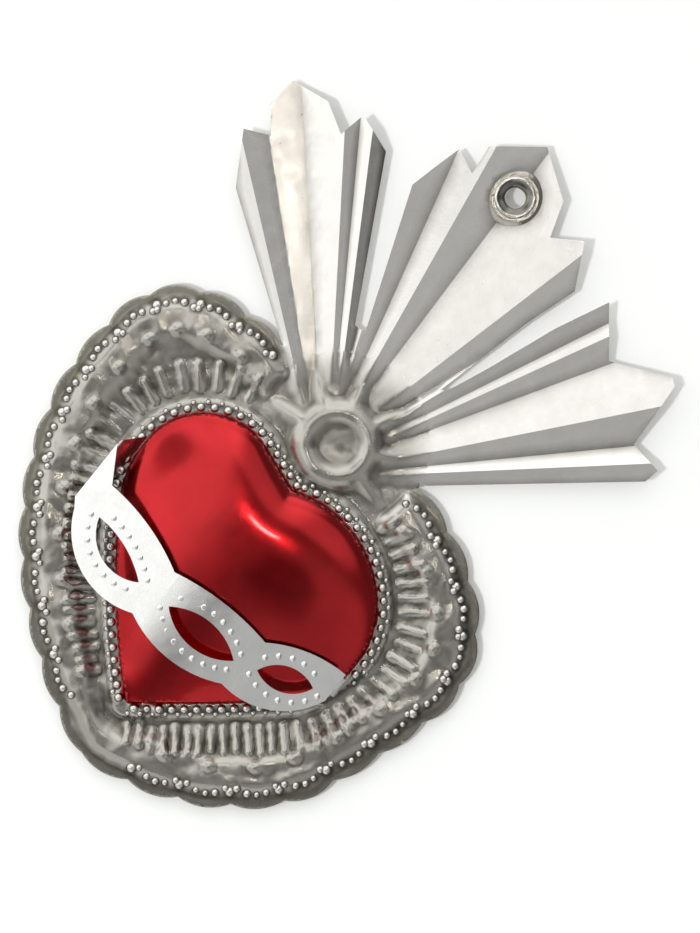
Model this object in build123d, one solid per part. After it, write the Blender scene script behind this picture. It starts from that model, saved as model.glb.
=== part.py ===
from build123d import *
import math
import os

# Flaming heart, a folk wall ornament cut, pleated and embossed from tin sheet.
# Sizes are in millimetres and angles in degrees.
# It is drawn lying on its back: x to the right, y up the ornament and z towards the viewer,
# with z = 0 on the front of the flat sheet and (0, 0) at the eyelet.
# The last step stands it up, +Z up and its front facing -Y, with the origin in the eyelet's bore.

# Sheets and clearances
plate_sheet = 0.4
heart_sheet = 0.35
band_sheet = 0.35
slot_gap = 0.12
back_gap = 0.05
overrun = 2.0
relief_back = 12.0

# Places of the main forms, measured from the eyelet. The eyelet sits at a share of the middle
# fan's reach, so the heights below it follow that reach.
middle_fan_reach = 76.0
middle_fan_apex_below = 3.3
eyelet_reach_share = 0.842
boss_right = 2.8
boss_below = eyelet_reach_share * middle_fan_reach - middle_fan_apex_below
heart_right = 2.0
heart_under_boss = 34.3
heart_below = boss_below + heart_under_boss

# Scalloped frame: the line that its valleys lie on, in arcs from the upper left notch down to
# the tip and up to the upper right. Each arc is a middle and an end, as shares of width and height.
frame_width = 100.0
frame_height = 90.0
frame_notch_share = (-0.195, 0.469)
frame_tip_share = (-0.008, -0.509)
frame_left_shares = (
    (-0.275, 0.479),
    (-0.355, 0.471),
    (-0.444, 0.420),
    (-0.491, 0.323),
    (-0.500, 0.137),
    (-0.458, -0.043),
    (-0.385, -0.188),
    (-0.285, -0.312),
    (-0.154, -0.424),
    frame_tip_share,
)
frame_right_shares = (
    (0.190, -0.457),
    (0.357, -0.327),
    (0.384, -0.291),
    (0.405, -0.249),
    (0.457, -0.102),
    (0.495, 0.050),
    (0.492, 0.169),
    (0.438, 0.272),
    (0.323, 0.364),
    (0.188, 0.411),
)
scallop_pitch = 10.4
scallop_bulge = 1.1

# Raised band inside the flat rim, and the slopes that lead up to it
rim_width = 1.6
crown_height = 1.5
outer_slope = 1.3
inner_slope = 1.2
crown_inner_inset = 8.8
relief_sink = 0.5

# Flutes that run in from the raised band towards the red heart
flute_pitch = 2.9
flute_width = 2.1
flute_top_width = 0.6
flute_height = 1.05
flute_outer_inset = 8.2
flute_inner_gap = 3.9
flute_shortest = 3.3
flute_hidden = 0.9

# Bead rail round the red heart, lowered where the crown band's right leg stands
rail_gap = 1.1
rail_slope = 0.6
rail_top_width = 1.2
rail_height = 0.9
rail_break_length = 8.0
rail_break_width = 5.0
rail_break_slope = 1.2

# Boss with its dished ring and star
dish_radius = 4.3
dish_height = 1.0
ring_radius = 6.4
ring_height = 2.0
ring_flat = 0.7
shoulder_radius = 8.6
shoulder_height = 1.2
boss_foot_radius = 9.9
ray_count = 6
ray_pitch = 40.0
ray_first_angle = -16.0
ray_root_radius = 7.4
ray_tip_radius = 18.0
ray_half_width = 4.1
ray_height = 1.7
star_clear_radius = 17.0
star_clear_slope = 1.2

# Flat field that joins the star, the frame and the roots of the three fans
field_reach = 23.0
field_shares = (
    (-0.926, 0.352),
    (-0.565, 0.904),
    (-0.409, 0.913),
    (0.357, 0.900),
    (0.443, 0.952),
    (0.791, 0.143),
    (0.0, -0.600),
)

# Pleated fans. Each one's creases and outline run out from one point beside the boss.
# A crease is its angle from the fan's axis and its height as a share of the pleats' depth.
# An outline point is along and across the axis, as shares of the fan's reach.
pleat_depth = 2.7
pleat_lift = 0.08
fan_over_share = 1.12
fan_hem_angle = 2.5
fan_hem_level = -0.3

left_fan_apex_right = 5.2
left_fan_apex_below = 10.3
left_fan_axis = 131.5
left_fan_reach = 80.0
left_fan_root = 11.0
left_fan_creases = (
    (-13.6, 0.02),
    (-10.3, 1.0),
    (-8.3, 0.6),
    (-6.0, 1.0),
    (0.3, 0.0),
    (5.8, 0.2),
    (10.0, 0.8),
    (13.6, 0.1),
)
left_fan_outline_shares = (
    (0.408, 0.090),
    (0.793, 0.183),
    (0.938, 0.155),
    (0.919, 0.088),
    (0.996, 0.085),
    (1.054, 0.026),
    (0.996, -0.059),
    (0.911, -0.087),
    (0.956, -0.145),
    (0.864, -0.197),
    (0.442, -0.099),
)

middle_fan_apex_right = -1.05
middle_fan_axis = 90.0
middle_fan_root = 4.0
middle_fan_creases = (
    (-20.0, 0.05),
    (-14.0, 1.0),
    (-6.2, 0.55),
    (1.6, 0.1),
    (9.0, 0.9),
    (14.4, 0.1),
    (21.0, 0.75),
)
middle_fan_outline_shares = (
    (0.324, 0.113),
    (0.701, 0.256),
    (0.776, 0.238),
    (0.853, 0.218),
    (0.821, 0.151),
    (0.904, 0.161),
    (1.000, 0.040),
    (0.914, -0.082),
    (0.817, -0.114),
    (0.866, -0.191),
    (0.747, -0.253),
    (0.605, -0.207),
    (0.321, -0.137),
)

right_fan_apex_right = -1.8
right_fan_apex_below = 10.3
right_fan_axis = 52.5
right_fan_reach = 78.0
right_fan_root = 11.0
right_fan_creases = (
    (-17.2, 0.05),
    (-11.5, 0.75),
    (-8.4, 0.2),
    (-2.7, 1.0),
    (6.2, 0.1),
    (10.6, 0.7),
    (12.6, 0.35),
    (17.2, 0.8),
)
right_fan_outline_shares = (
    (0.428, 0.127),
    (0.542, 0.157),
    (0.732, 0.214),
    (0.883, 0.246),
    (0.847, 0.101),
    (0.994, 0.019),
    (0.993, -0.004),
    (0.857, -0.123),
    (0.899, -0.203),
    (0.862, -0.222),
    (0.316, -0.097),
)

# Hanging eyelet, crimped through a raised seat in the middle fan
seat_radius = 4.8
seat_height = 1.5
seat_slope = 1.6
eyelet_bore_radius = 2.1
eyelet_neck_radius = 2.75
eyelet_rim_radius = 4.2
eyelet_rim_inner_radius = 3.4
eyelet_rim_height = 0.8
eyelet_funnel_depth = 0.5
eyelet_bore_length = 1.7
eyelet_collar_radius = 3.5
eyelet_collar_end_radius = 2.9
eyelet_fit = 0.08

# Red heart: arcs from its tip up the right side to the cleft and down the left side,
# as middles and ends in shares of width and height
heart_width = 60.0
heart_height = 58.0
heart_tip_share = (-0.003, -0.552)
heart_cleft_share = (-0.008, 0.367)
heart_right_shares = (
    (0.208, -0.384),
    (0.410, -0.205),
    (0.516, 0.032),
    (0.421, 0.274),
    (0.220, 0.387),
    heart_cleft_share,
)
heart_left_shares = (
    (-0.085, 0.395),
    (-0.162, 0.424),
    (-0.368, 0.406),
    (-0.484, 0.228),
    (-0.479, 0.094),
    (-0.429, -0.030),
    (-0.232, -0.305),
    heart_tip_share,
)
heart_wall = 2.6
heart_bevel_insets = (1.2, 5.0)
heart_bevel_heights = (4.3, 8.4)
heart_crown_height = 7.6
heart_crown_radius = 140.0

# Folding tabs of the red heart
tab_width = 4.0
tab_reach = 4.0
slot_half = 0.42
tab_places_share = (0.11, 0.37, 0.585, 0.80)

# Crown band: its side view, then its front view as shares of its span and width
band_top_height = 10.6
band_left_height = 7.4
band_right_height = 5.8
band_bend_radius = 0.6
band_arch_radius = 60.0
band_left_clear = 0.50
band_right_clear = 0.35
band_overhang = 3.7
band_stem_height = 0.8
band_tab_reach = 4.0
band_leg_top = 6.4
band_ribbon_half = 22.0
band_span = 63.0
band_width = 15.0
band_centre_below = 9.0
band_top_shares = (
    (-0.56, 1.3),
    (-0.459, 0.61),
    (-0.286, 0.493),
    (-0.135, 0.233),
    (0.040, 0.32),
    (0.225, 0.247),
    (0.349, 0.493),
    (0.487, 0.567),
)
band_low_shares = (
    (0.487, 0.133),
    (0.357, -0.44),
    (0.198, -0.533),
    (0.024, -0.707),
    (-0.159, -0.533),
    (-0.341, -0.567),
    (-0.508, 0.067),
)
band_corner_share = (-0.56, 0.37)
band_eye_shares = (
    ((-0.429, 0.18), (-0.325, 0.113), (-0.203, -0.167), (-0.302, -0.267)),
    ((-0.083, -0.167), (0.048, 0.013), (0.183, -0.2), (0.048, -0.4)),
    ((0.259, -0.107), (0.349, 0.213), (0.433, 0.16), (0.365, -0.133)),
)
band_left_leg_shares = (
    (-0.56, 0.99),
    (-0.473, 1.4),
    (-0.38, 1.4),
    (-0.38, 0.47),
    (-0.473, 0.47),
    (-0.56, 0.13),
)
band_right_leg_width = 4.2
band_right_leg_below = 3.4
band_right_edge_share = 0.487


def placed(right, below, share, width, height):
    """A point given as a share of a width and a height about a centre."""
    return Vector(right + share[0] * width, -below + share[1] * height)


def heading(angle):
    """Unit vector at an angle in the plane of the sheet."""
    return Vector(math.cos(math.radians(angle)), math.sin(math.radians(angle)))


def arcs_through(points):
    """One arc after another through a start and then the middle and end of each."""
    return [ThreePointArc(*points[i : i + 3]) for i in range(0, len(points) - 2, 2)]


def outward(arc, share):
    """Unit vector out of an outline that is drawn anticlockwise, at a share along its arc."""
    tangent = arc % share
    return Vector(tangent.Y, -tangent.X)


def grown_joint(arc, following, growth):
    """Where two arcs of an outline meet once it is grown outwards."""
    first = outward(arc, 1)
    second = outward(following, 0)
    return arc @ 1 + (first + second) * (growth / (1 + first.dot(second)))


def grown_points(arcs, growth, start, end):
    """The points of arcs that are grown outwards, from a given start to a given end."""
    points = [start]
    for arc, following in zip(arcs, arcs[1:]):
        middle = arc @ (1 / 2) + outward(arc, 1 / 2) * growth
        points += [middle, grown_joint(arc, following, growth)]
    return points + [arcs[-1] @ (1 / 2) + outward(arcs[-1], 1 / 2) * growth, end]


boss_centre = Vector(boss_right, -boss_below)


def frame_point(share):
    return placed(heart_right, heart_below, share, frame_width, frame_height)


def heart_point(share):
    return placed(heart_right, heart_below, share, heart_width, heart_height)


frame_arcs = arcs_through(
    [frame_point(share) for share in (frame_notch_share, *frame_left_shares, *frame_right_shares)]
)
frame_left = Wire(frame_arcs[: len(frame_left_shares) // 2])
frame_right = Wire(frame_arcs[len(frame_left_shares) // 2 :])


def frame_steps(pitch):
    """Equal steps along both sides of the frame: the side, where a step starts and its length."""
    steps = []
    for side in (frame_left, frame_right):
        count = round(side.length / pitch)
        step = side.length / count
        steps += [(side, i * step, step) for i in range(count)]
    return steps


def inside(side, distance, inset):
    """The point that lies a distance along a side of the frame and an inset inside it."""
    point = side.position_at(distance, PositionMode.LENGTH)
    tangent = side.tangent_at(distance, PositionMode.LENGTH)
    return point + Vector(-tangent.Y, tangent.X) * inset


def scalloped_face(inset, bulge):
    """The frame's face with one arc for each scallop, closed over the star."""
    valleys = []
    peaks = []
    for side, start, step in frame_steps(scallop_pitch):
        before = inside(side, start, inset)
        if side is frame_right and start == 0:
            before = (before + last) / 2
        valleys.append(before)
        peaks.append(inside(side, start + step / 2, inset - bulge))
        last = inside(side, start + step, inset)
    valleys.append(last)
    edges = [
        ThreePointArc(valleys[i], peak, valleys[i + 1]) for i, peak in enumerate(peaks)
    ]
    edges.append(Line(valleys[-1], boss_centre))
    edges.append(Line(boss_centre, valleys[0]))
    return make_face(Wire(edges))


def smooth_frame_face(inset):
    """The frame's face without scallops, drawn in by an inset."""
    start = frame_arcs[0] @ 0 - outward(frame_arcs[0], 0) * inset
    end = frame_arcs[-1] @ 1 - outward(frame_arcs[-1], 1) * inset
    edges = arcs_through(grown_points(frame_arcs, -inset, start, end))
    return make_face(Wire(edges + [Line(end, boss_centre), Line(boss_centre, start)]))


heart_tip = heart_point(heart_tip_share)
heart_arcs = arcs_through(
    [heart_point(share) for share in (heart_tip_share, *heart_right_shares, *heart_left_shares)]
)
heart_wire = Wire(heart_arcs)
heart_box = heart_wire.bounding_box()
band_left_foot = heart_box.min.X - band_left_clear - band_sheet / 2
band_right_foot = heart_box.max.X + band_right_clear + band_sheet / 2


def heart_face(growth):
    """The red heart's face, grown outwards round its tip or, below zero, drawn in."""
    if growth > 0:
        start = heart_tip + outward(heart_arcs[0], 0) * growth
        end = heart_tip + outward(heart_arcs[-1], 1) * growth
        below = (start + end) / 2 - heart_tip
        turn = [ThreePointArc(end, heart_tip + below.normalized() * growth, start)]
    else:
        start = grown_joint(heart_arcs[-1], heart_arcs[0], growth)
        end = start
        turn = []
    return make_face(Wire(arcs_through(grown_points(heart_arcs, growth, start, end)) + turn))


def at_height(face, height):
    return Pos(0, 0, height) * face


def frustum(low_face, low_height, high_face, high_height):
    """The solid between two like faces at two heights, with straight slopes."""
    return loft([at_height(low_face, low_height), at_height(high_face, high_height)], ruled=True)


def raised_crown():
    """The raised band between the flat rim and the flutes."""
    outer_foot = rim_width - relief_sink * outer_slope / crown_height
    outer = frustum(
        smooth_frame_face(outer_foot),
        -relief_sink,
        smooth_frame_face(rim_width + outer_slope),
        crown_height,
    )
    per_height = inner_slope / crown_height
    top_inset = crown_inner_inset - overrun * per_height
    foot_inset = crown_inner_inset + inner_slope + (relief_sink + overrun) * per_height
    hollow = frustum(
        smooth_frame_face(foot_inset),
        -relief_sink - overrun,
        smooth_frame_face(top_inset),
        crown_height + overrun,
    )
    near_foot = flute_inner_gap + flute_shortest - flute_hidden
    near_hollow = frustum(
        heart_face(near_foot - (relief_sink + overrun) * per_height),
        -relief_sink - overrun,
        heart_face(near_foot + (crown_height + overrun) * per_height),
        crown_height + overrun,
    )
    clear_rise = star_clear_slope / crown_height
    clearing = Cone(
        star_clear_radius - (relief_sink + overrun) * clear_rise,
        star_clear_radius + (crown_height + overrun) * clear_rise,
        relief_sink + crown_height + 2 * overrun,
        align=(Align.CENTER, Align.CENTER, Align.MIN),
    )
    clearing = Pos(boss_centre.X, boss_centre.Y, -relief_sink - overrun) * clearing
    return outer - hollow - near_hollow - clearing


def pyramid(base, apex):
    """The solid with flat faces between a base polygon and a point."""
    corners = list(zip(base, [*base[1:], base[0]]))
    faces = [Face(Wire.make_polygon(base, close=True))]
    faces += [Face(Wire.make_polygon([a, b, apex], close=True)) for a, b in corners]
    return Solid(Shell(faces))


def flute(outer, inner):
    """One rib, wide and high at its outer end, that runs out to a point at its inner end."""
    run = (inner - outer).normalized()
    side = Vector(-run.Y, run.X) / 2
    low = Vector(0, 0, -relief_sink / 2)
    crest = Vector(0, 0, flute_height)
    base = [
        outer + side * flute_width + low,
        outer + side * flute_top_width + crest,
        outer - side * flute_top_width + crest,
        outer - side * flute_width + low,
    ]
    return pyramid(base, inner + low)


def flutes():
    """The flutes, each at right angles to the red heart's outline."""
    toe_line = heart_face(flute_inner_gap).wire()
    ribs = []
    for side, start, step in frame_steps(flute_pitch):
        edge = inside(side, start + step / 2, 0)
        gap = (heart_wire.closest_points(edge)[0] - edge).length
        inset = min(flute_outer_inset, gap - flute_inner_gap - flute_shortest)
        outer = inside(side, start + step / 2, inset)
        clear = (outer - boss_centre).length - star_clear_radius - flute_width
        inner = toe_line.closest_points(outer)[0]
        if clear > 0 and (inner - boss_centre).length > star_clear_radius:
            ribs.append(flute(outer, inner))
    return ribs


def rail_break():
    """A wedge that takes the rail away round the crown band's right leg."""
    spread = rail_break_slope * (rail_height + relief_sink + overrun) / rail_height
    place = Pos(band_right_foot, -heart_below - band_right_leg_below, 0)
    low = place * Rectangle(rail_break_width, rail_break_length)
    high = place * Rectangle(rail_break_width + 2 * spread, rail_break_length + 2 * spread)
    return frustum(low, -relief_sink, high, rail_height + overrun)


def bead_rail():
    """The low rail round the red heart that carries the two rows of beads."""
    per_height = rail_slope / rail_height
    foot = relief_sink * per_height
    outer_gap = rail_gap + 2 * rail_slope + rail_top_width
    outer = frustum(
        heart_face(outer_gap + foot),
        -relief_sink,
        heart_face(outer_gap - rail_slope),
        rail_height,
    )
    over = (relief_sink + overrun) * per_height
    hollow = frustum(
        heart_face(rail_gap - min(over, rail_gap / 2)),
        -relief_sink,
        heart_face(rail_gap + rail_slope),
        rail_height,
    )
    lid = extrude(at_height(heart_face(rail_gap + rail_slope), rail_height), amount=overrun)
    return outer - hollow - lid - rail_break()


def boss():
    """The round boss: a dish inside a raised ring inside a sloping shoulder."""
    floor = -relief_sink
    profile = Polyline(
        (0, floor),
        (0, dish_height),
        (dish_radius, dish_height),
        (ring_radius - ring_flat, ring_height),
        (ring_radius + ring_flat, ring_height),
        (shoulder_radius, shoulder_height),
        (boss_foot_radius, floor),
        close=True,
    )
    turned = revolve(Plane.XZ * make_face(profile), axis=Axis.Z)
    return Pos(boss_centre.X, boss_centre.Y, 0) * turned


def rays():
    """The pointed rays of the star, each a long pyramid that leans on the boss."""
    low = Vector(0, 0, -relief_sink / 2)
    crest = Vector(0, 0, ray_height)
    solids = []
    for i in range(ray_count):
        out = heading(ray_first_angle + i * ray_pitch)
        across = Vector(-out.Y, out.X) * ray_half_width
        root = boss_centre + out * ray_root_radius
        base = [root + across + low, root + crest, root - across + low]
        solids.append(pyramid(base, boss_centre + out * ray_tip_radius + low))
    return solids


def fan_frame(apex_right, apex_below, axis):
    """The point that a fan's creases run out from, with its axis and the way across it."""
    apex = boss_centre + Vector(apex_right, -apex_below)
    along = heading(axis)
    return apex, along, Vector(-along.Y, along.X)


def pleats(apex, along, across, reach, root, creases):
    """A fan's pleats: flat facets between creases that all start at one point."""
    first = (creases[0][0] - fan_hem_angle, fan_hem_level)
    last = (creases[-1][0] + fan_hem_angle, fan_hem_level)
    end = reach * fan_over_share
    base = []
    for angle, level in (first, *creases, last):
        aside = across * (end * math.tan(math.radians(angle)))
        height = (level * pleat_depth + pleat_lift) * fan_over_share
        base.append(apex + along * end + aside + Vector(0, 0, height))
    deep = Vector(0, 0, -relief_back * fan_over_share)
    for corner in (base[-1], base[0]):
        base.append(Vector(corner.X, corner.Y, 0) + deep)
    before_root = Plane(origin=apex, x_dir=along, z_dir=Vector(0, 0, 1)) * Box(
        2 * root, 2 * end, 2 * relief_back
    )
    return pyramid(base, apex) - before_root


def fan_outline(apex, along, across, reach, shares):
    points = [apex + along * (reach * share[0]) + across * (reach * share[1]) for share in shares]
    return make_face(Polyline(*points, boss_centre, close=True))


fans = (
    (
        fan_frame(left_fan_apex_right, left_fan_apex_below, left_fan_axis),
        left_fan_reach,
        left_fan_root,
        left_fan_creases,
        left_fan_outline_shares,
    ),
    (
        fan_frame(middle_fan_apex_right, middle_fan_apex_below, middle_fan_axis),
        middle_fan_reach,
        middle_fan_root,
        middle_fan_creases,
        middle_fan_outline_shares,
    ),
    (
        fan_frame(right_fan_apex_right, right_fan_apex_below, right_fan_axis),
        right_fan_reach,
        right_fan_root,
        right_fan_creases,
        right_fan_outline_shares,
    ),
)


def plate_outline():
    """The sheet as it was cut: frame, star field and the three fans."""
    field = [
        boss_centre + Vector(share[0] * field_reach, share[1] * field_reach)
        for share in field_shares
    ]
    outline = scalloped_face(0, scallop_bulge) + make_face(Polyline(*field, close=True))
    for (apex, along, across), reach, root, creases, shares in fans:
        outline = outline + fan_outline(apex, along, across, reach, shares)
    return outline


def eyelet_seat():
    """The raised round spot in the middle fan that the eyelet is crimped on."""
    rise = seat_slope / seat_height
    seat = Cone(
        seat_radius + (seat_height + relief_sink) * rise,
        seat_radius,
        seat_height + relief_sink,
        align=(Align.CENTER, Align.CENTER, Align.MIN),
    )
    return Pos(0, 0, -relief_sink) * seat


def heart_tab_frames():
    """Where the red heart's tabs are: a point on its outline and the way inwards."""
    frames = []
    for share in tab_places_share:
        distance = share * heart_wire.length
        tangent = heart_wire.tangent_at(distance, PositionMode.LENGTH)
        point = heart_wire.position_at(distance, PositionMode.LENGTH)
        frames.append((point, Vector(-tangent.Y, tangent.X)))
    return frames


def tab_block(point, inward, reach, width):
    """A block at a tab's place: from the outline inwards, deeper than any tab."""
    plane = Plane(origin=point, x_dir=inward, z_dir=Vector(0, 0, 1))
    block = Box(2 * reach, width, 2 * relief_back)
    return plane * block


def band_point(share):
    centre = Vector(heart_right, -heart_below - band_centre_below)
    return centre + Vector(share[0] * band_span, share[1] * band_width)


def band_front_face():
    """The band's front view: three loops in a row, each with an eye-shaped opening."""
    top = [band_point(share) for share in band_top_shares]
    low = [band_point(share) for share in band_low_shares]
    edges = [
        Line(top[0], top[1]),
        ThreePointArc(top[1], top[2], top[3]),
        ThreePointArc(top[3], top[4], top[5]),
        ThreePointArc(top[5], top[6], top[7]),
        Line(top[7], low[0]),
        ThreePointArc(low[0], low[1], low[2]),
        ThreePointArc(low[2], low[3], low[4]),
        ThreePointArc(low[4], low[5], low[6]),
        Line(low[6], band_point(band_corner_share)),
        Line(band_point(band_corner_share), top[0]),
    ]
    face = make_face(Wire(edges))
    for eye in band_eye_shares:
        first, upper, last, lower = [band_point(share) for share in eye]
        opening = Wire([ThreePointArc(first, upper, last), ThreePointArc(last, lower, first)])
        face = face - make_face(opening)
    return face


def band_ribbon():
    """The band before its front is cut: it rises, arches over the heart and goes down again."""
    leaf = -plate_sheet - back_gap - band_sheet / 2
    points = (
        (band_left_foot + band_tab_reach, leaf),
        (band_left_foot, leaf),
        (band_left_foot, band_stem_height),
        (band_left_foot - band_overhang, band_left_height),
        (heart_right, band_top_height),
        (band_right_foot, band_right_height),
        (band_right_foot, leaf),
        (band_right_foot - band_tab_reach, leaf),
    )
    leaf_bend = band_sheet / 2 + slot_gap / 2
    bend = band_bend_radius
    path = FilletPolyline(
        *points, radius=[leaf_bend, bend, bend, band_arch_radius, bend, leaf_bend]
    )
    section = make_face(offset(path, amount=band_sheet / 2, kind=Kind.ARC))
    ribbon = extrude(Plane.XZ * section, amount=band_ribbon_half, both=True)
    return Pos(0, -heart_below - band_centre_below, 0) * ribbon


def band_leg_prisms():
    """The blocks that the band's two legs are cut from, with their tabs."""
    left_face = make_face(
        Polyline(*[band_point(share) for share in band_left_leg_shares], close=True)
    )
    low = -relief_back / 2
    left = extrude(at_height(left_face, low), amount=band_leg_top - low)
    edge = band_point((band_right_edge_share, 0)).X
    right = Pos(edge, -heart_below - band_right_leg_below, low) * Box(
        band_tab_reach,
        band_right_leg_width,
        relief_back,
        align=(Align.MIN, Align.CENTER, Align.MIN),
    )
    leaf = Pos(edge, -heart_below - band_right_leg_below, 0) * Box(
        2 * band_tab_reach + 2 * overrun,
        band_right_leg_width,
        relief_back / 2,
        align=(Align.CENTER, Align.CENTER, Align.MAX),
    )
    return left, right + leaf


def crown_band():
    """The looped band over the red heart, folded down to the plate at both ends."""
    front = extrude(band_front_face(), amount=2 * relief_back)
    clear = Pos(heart_right, -heart_below, band_leg_top) * Box(
        band_span + 2 * overrun,
        band_span,
        2 * relief_back,
        align=(Align.MAX, Align.CENTER, Align.MAX),
    )
    low_clear = Pos(heart_right, -heart_below, 0) * Box(
        2 * band_span,
        band_span,
        2 * band_stem_height,
    )
    left, right = band_leg_prisms()
    ribbon = band_ribbon()
    return ribbon & ((front - clear - low_clear) + left + right)


def band_slots():
    """The two slots that the band's tabs go through, each with a little clearance."""
    left, right = band_leg_prisms()
    slots = []
    for foot, leg in ((band_left_foot, left), (band_right_foot, right)):
        box = (Pos(foot, -heart_below, 0) * Box(band_sheet, band_span, plate_sheet) & leg).bounding_box()
        slot = Box(
            band_sheet + 2 * slot_gap, box.size.Y + 2 * slot_gap, 2 * relief_back
        )
        slots.append(Pos(foot, box.center().Y, 0) * slot)
    return slots


def red_heart_solid(inset, below):
    """The domed heart drawn in on all sides by an inset and going down some way below the plate."""
    faces = [heart_face(-inset)]
    heights = [heart_wall - inset]
    body = extrude(at_height(faces[0], -below), amount=below + heart_wall - inset)
    for bevel_inset, bevel_height in zip(heart_bevel_insets, heart_bevel_heights):
        faces.append(heart_face(-inset - bevel_inset))
        heights.append(bevel_height - inset)
        body = body + frustum(faces[-2], heights[-2], faces[-1], heights[-1])
    ball = Rot(0, 90, 0) * Sphere(heart_crown_radius - inset)
    middle = Pos(heart_right, -heart_below, heart_crown_height - heart_crown_radius)
    return body & (middle * ball)


def red_heart():
    """The domed red heart, hollow behind, with four tabs that are bent inwards behind the plate."""
    below = plate_sheet + back_gap
    depth = below + heart_sheet
    blocks = [
        tab_block(point, inward, tab_reach, tab_width) for point, inward in heart_tab_frames()
    ]
    legs = extrude(at_height(heart_face(0), -depth), amount=depth)
    gone = legs.cut(*blocks)
    return red_heart_solid(0, depth).cut(gone, red_heart_solid(heart_sheet, below))


def eyelet():
    """The eyelet: a rolled rim, a funnel, a straight bore and a collar rolled out behind."""
    front = seat_height
    back = front - plate_sheet
    end = front - eyelet_bore_length
    rim_top = front + eyelet_rim_height
    rim_middle = (eyelet_rim_radius + eyelet_rim_inner_radius) / 2
    profile = Polyline(
        (eyelet_bore_radius, end),
        (eyelet_collar_end_radius, end),
        (eyelet_collar_radius, back),
        (eyelet_neck_radius, back),
        (eyelet_neck_radius, front),
        (eyelet_rim_radius, front),
        (eyelet_rim_radius, (front + rim_top) / 2),
        (rim_middle, rim_top),
        (eyelet_rim_inner_radius, front + eyelet_funnel_depth),
        (eyelet_bore_radius, front),
        close=True,
    )
    return revolve(Plane.XZ * make_face(profile), axis=Axis.Z)


def embossed_plate():
    """The tin plate: the relief's skin, cut to the outline, with its hole and slots."""
    outline = plate_outline()
    box = outline.bounding_box()
    middle = box.center()
    ground = Pos(middle.X, middle.Y, 0) * Box(
        box.size.X + 2 * overrun,
        box.size.Y + 2 * overrun,
        relief_back,
        align=(Align.CENTER, Align.CENTER, Align.MAX),
    )
    forms = [raised_crown(), bead_rail(), boss(), eyelet_seat()]
    forms += flutes() + rays()
    for (apex, along, across), reach, root, creases, shares in fans:
        forms.append(pleats(apex, along, across, reach, root, creases))
    relief = ground.fuse(*forms)
    prism = extrude(at_height(outline, -relief_back / 2), amount=relief_back)
    hole = Cylinder(eyelet_neck_radius + eyelet_fit, relief_back)
    slots = [
        tab_block(point + inward * heart_sheet / 2, inward, slot_half, tab_width + 2 * slot_gap)
        for point, inward in heart_tab_frames()
    ]
    slots += band_slots()
    prism = prism.cut(hole, *slots)
    skin = relief & prism
    return skin.cut(Pos(0, 0, -plate_sheet) * relief)


bore_middle = seat_height - eyelet_bore_length / 2
pieces = {
    "back_plate": embossed_plate(),
    "red_heart": red_heart(),
    "crown_band": crown_band(),
    "hanging_eyelet": eyelet(),
}
os.makedirs("parts", exist_ok=True)
for name, piece in pieces.items():
    standing = Pos(0, bore_middle, 0) * Rot(90, 0, 0) * piece
    standing.label = name
    export_step(standing, f"parts/{name}.step")
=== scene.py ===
import math

import bmesh
import bpy
import numpy as np
from mathutils import Matrix, Vector, geometry, kdtree, noise
from mathutils.bvhtree import BVHTree


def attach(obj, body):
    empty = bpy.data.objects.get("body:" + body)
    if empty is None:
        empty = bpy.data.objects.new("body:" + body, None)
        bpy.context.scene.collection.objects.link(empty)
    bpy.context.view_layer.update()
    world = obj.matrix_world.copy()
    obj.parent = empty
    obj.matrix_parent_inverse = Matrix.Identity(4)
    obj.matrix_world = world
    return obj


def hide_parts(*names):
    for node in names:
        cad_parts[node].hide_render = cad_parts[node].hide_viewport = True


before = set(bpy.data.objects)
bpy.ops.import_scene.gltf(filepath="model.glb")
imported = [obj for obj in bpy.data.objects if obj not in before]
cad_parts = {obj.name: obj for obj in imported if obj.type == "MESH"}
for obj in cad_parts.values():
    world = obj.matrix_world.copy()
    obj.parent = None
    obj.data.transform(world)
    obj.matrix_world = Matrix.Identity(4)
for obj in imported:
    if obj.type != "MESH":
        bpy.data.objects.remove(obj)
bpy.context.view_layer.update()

# Flaming heart, a folk wall ornament in tin, in the frame of the CAD model: x to the right, z up,
# the viewer on the -y side, the origin in the hanging eyelet's bore. Blender works in metres. The
# sizes of the object are millimetres here and are turned into metres where its meshes are made.
MM = 0.001

# Reading the CAD model: distance at which vertices join, the most that a front face's and a wall's
# normal have along y, and the y from which a ray starts and its way
WELD = 1e-3
FRONT_NORMAL = -0.15
WALL_NORMAL = 0.03
RAY_START = -30
RAY_WAY = Vector((0, 1, 0))

# The tin sheet: thickness, height of its flat front, middle of the boss, radius of the boss with
# its star, and the height below which the frame's scallops are
SHEET = 0.4
GROUND = -0.65
BOSS = (2.8, -60.7)
STAR_REACH = 18.5
FLAME_FOOT = -46

# Angles round the boss, in degrees, between which the sector of the fans begins on each side
FANS_RIGHT = (11, 14)
FANS_LEFT = (158.5, 156)

# The points that draw the plate: pitch in the frame, in the fans and along edges, least gap, how far
# past the star and how far inside the heart the finer ones reach, the radius round the bore that the
# coarser ones leave free, unevenness as a share of the pitch, and how near two points are one
GRID_FRAME = 0.50
GRID_FLAME = 1.10
GRID_EDGE = 0.60
POINT_GAP = 0.22
STAR_MARGIN = 1
HEART_COVER = 2.0
HOLE_CLEAR = 3.0
GRID_JITTER = 0.1
SAME_POINT = 1e-5

# Creases of the fans in degrees: those that the points follow and those that are shaded sharp
CREASE_ANGLE = 2
SHARP_ANGLE = 2.5

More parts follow.
